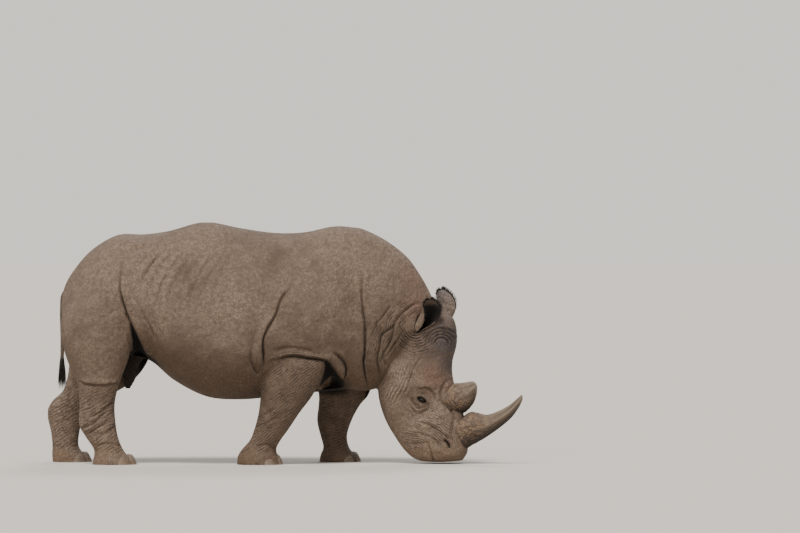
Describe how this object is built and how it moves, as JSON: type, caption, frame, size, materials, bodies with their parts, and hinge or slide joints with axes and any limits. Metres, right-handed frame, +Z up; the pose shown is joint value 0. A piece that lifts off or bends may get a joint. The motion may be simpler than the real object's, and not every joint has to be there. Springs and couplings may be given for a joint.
{
  "type": "white rhinoceros model",
  "caption": "Life-size still model of a white rhinoceros, standing on four legs with its head lowered to graze.",
  "frame": {"origin": "on the floor under the middle of the body: half way between the hindmost hock and the tip of the front horn, on the trunk's midline", "axes": "+X from the tail towards the horns, +Y to the animal's left, +Z up. The head is turned slightly to the animal's right, towards -Y"},
  "size_m": [3.4051, 0.985, 1.7195],
  "materials": {
    "hide": "dry wrinkled skin with dust and dried mud",
    "horn": "fibrous keratin, worn smooth towards the tips",
    "nail": "dull scratched keratin",
    "eye": "wet dark brown",
    "bristle": "coarse black hair"
  },
  "bodies": {
    "root": {"trunk": "hide", "neck": "hide", "head": "hide", "ear_right": "hide", "ear_left": "hide", "eye_right": "eye", "eye_left": "eye", "horn_front": "horn", "horn_rear": "horn", "leg_front_right_upper": "hide", "leg_front_right_lower": "hide", "leg_front_right_foot": "hide", "nail_front_right_middle": "nail", "nail_front_right_inner": "nail", "nail_front_right_outer": "nail", "leg_front_left_upper": "hide", "leg_front_left_lower": "hide", "leg_front_left_foot": "hide", "nail_front_left_middle": "nail", "nail_front_left_inner": "nail", "nail_front_left_outer": "nail", "leg_hind_right_upper": "hide", "leg_hind_right_lower": "hide", "leg_hind_right_foot": "hide", "nail_hind_right_middle": "nail", "nail_hind_right_inner": "nail", "nail_hind_right_outer": "nail", "leg_hind_left_upper": "hide", "leg_hind_left_lower": "hide", "leg_hind_left_foot": "hide", "nail_hind_left_middle": "nail", "nail_hind_left_inner": "nail", "nail_hind_left_outer": "nail", "tail": "hide", "tail_tuft": "bristle", "sheath": "hide"}
  },
  "joints": []
}
